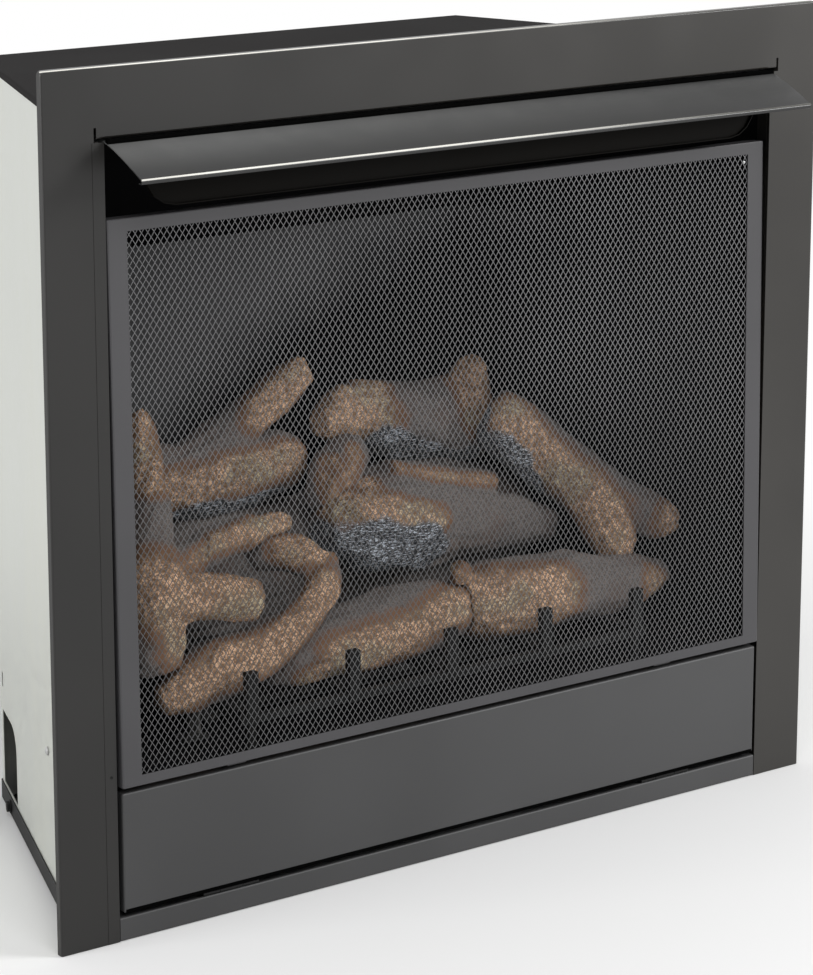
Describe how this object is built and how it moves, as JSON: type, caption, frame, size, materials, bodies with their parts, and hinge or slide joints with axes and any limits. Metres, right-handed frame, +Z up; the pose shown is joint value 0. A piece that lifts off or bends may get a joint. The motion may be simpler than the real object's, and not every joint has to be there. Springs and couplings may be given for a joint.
{
  "type": "gas fireplace insert",
  "caption": "Vent-free gas fireplace insert with a folded black steel face, a curved hood, a lift-off mesh screen, a drop-down control door and a log set in a tapered firebox.",
  "frame": {"origin": "middle of the bounding box in plan, on the plane that the base stands on", "axes": "+X to the right of a person facing the fire, +Y from the face to the back, +Z up"},
  "size_m": [0.87, 0.4486, 0.787],
  "materials": {
    "face_black_powder_coat": "satin black powder coat",
    "door_black_powder_coat": "satin black powder coat",
    "screen_black_powder_coat": "satin black powder coat",
    "chassis_black_paint": "matt black paint",
    "expanded_mesh_steel": "grey coated expanded steel",
    "galvanised_sheet": "galvanised",
    "liner_dark_paint": "matt heat-proof paint",
    "grate_black_steel": "matt black",
    "refractory_log": "rough refractory, painted as bark and char",
    "bright_steel": "plain steel",
    "aluminised_burner_steel": "aluminised",
    "fitting_brass": "machined brass",
    "valve_die_casting": "die cast",
    "knob_black_plastic": "moulded black",
    "igniter_red_plastic": "moulded red",
    "electrode_white_ceramic": "glazed white"
  },
  "bodies": {
    "chassis": {"base_bolt_left": "chassis_black_paint", "base_bolt_right": "chassis_black_paint", "base_pan": "chassis_black_paint", "bottom_rail": "face_black_powder_coat", "burner_cradle_left": "galvanised_sheet", "burner_cradle_right": "galvanised_sheet", "burner_feed_pipe": "aluminised_burner_steel", "burner_front": "aluminised_burner_steel", "burner_manifold": "aluminised_burner_steel", "burner_rear": "aluminised_burner_steel", "casing_back": "galvanised_sheet", "casing_side_left": "galvanised_sheet", "casing_side_right": "galvanised_sheet", "casing_top": "chassis_black_paint", "control_plate": "galvanised_sheet", "door_catch": "knob_black_plastic", "face_frame": "face_black_powder_coat", "gas_valve": "valve_die_casting", "grate": "grate_black_steel", "header": "chassis_black_paint", "hearth_floor": "chassis_black_paint", "hinge_fixed_leaf_left": "bright_steel", "hinge_fixed_leaf_right": "bright_steel", "hood": "face_black_powder_coat", "hood_apron": "chassis_black_paint", "igniter_body": "knob_black_plastic", "inlet_bracket": "galvanised_sheet", "inlet_fitting": "fitting_brass", "inlet_pipe": "aluminised_burner_steel", "jamb_left": "chassis_black_paint", "jamb_right": "chassis_black_paint", "liner_back": "liner_dark_paint", "liner_side_left": "liner_dark_paint", "liner_side_right": "liner_dark_paint", "log_centre_stub": "refractory_log", "log_crossing": "refractory_log", "log_front_diagonal": "refractory_log", "log_front_middle": "refractory_log", "log_front_right": "refractory_log", "log_left_fork": "refractory_log", "log_middle": "refractory_log", "log_rear_base": "refractory_log", "log_rear_left": "refractory_log", "log_rear_right": "refractory_log", "pilot_assembly": "bright_steel", "pilot_electrode": "electrode_white_ceramic", "pilot_tube": "fitting_brass", "pressure_regulator": "valve_die_casting", "side_screw_left": "bright_steel", "side_screw_right": "bright_steel", "smoke_baffle": "chassis_black_paint", "supply_pipe": "aluminised_burner_steel"},
    "screen": {"screen_frame": "screen_black_powder_coat", "screen_mesh": "expanded_mesh_steel"},
    "door": {"access_door": "door_black_powder_coat", "hinge_door_leaf_left": "bright_steel", "hinge_door_leaf_right": "bright_steel"},
    "knob": {"control_knob": "knob_black_plastic"},
    "button": {"igniter_button": "igniter_red_plastic"}
  },
  "joints": [
    {"name": "screen_lift_off", "type": "slide", "parent": "chassis", "child": "screen", "axis": [0, -1, 0], "range_m": [0, 0.2]},
    {"name": "door_hinge", "type": "hinge", "parent": "chassis", "child": "door", "pos_m": [0, -0.1633, 0.0244], "axis": [1, 0, 0], "range_deg": [0, 90]},
    {"name": "knob_turn", "type": "hinge", "parent": "chassis", "child": "knob", "pos_m": [-0.12, -0.1273, 0.066], "axis": [0, -1, 0], "range_deg": [0, 180]},
    {"name": "button_press", "type": "slide", "parent": "chassis", "child": "button", "axis": [0, 1, 0], "range_m": [0, 0.004], "stiffness_N_per_m": 500, "springref_m": -0.004}
  ]
}
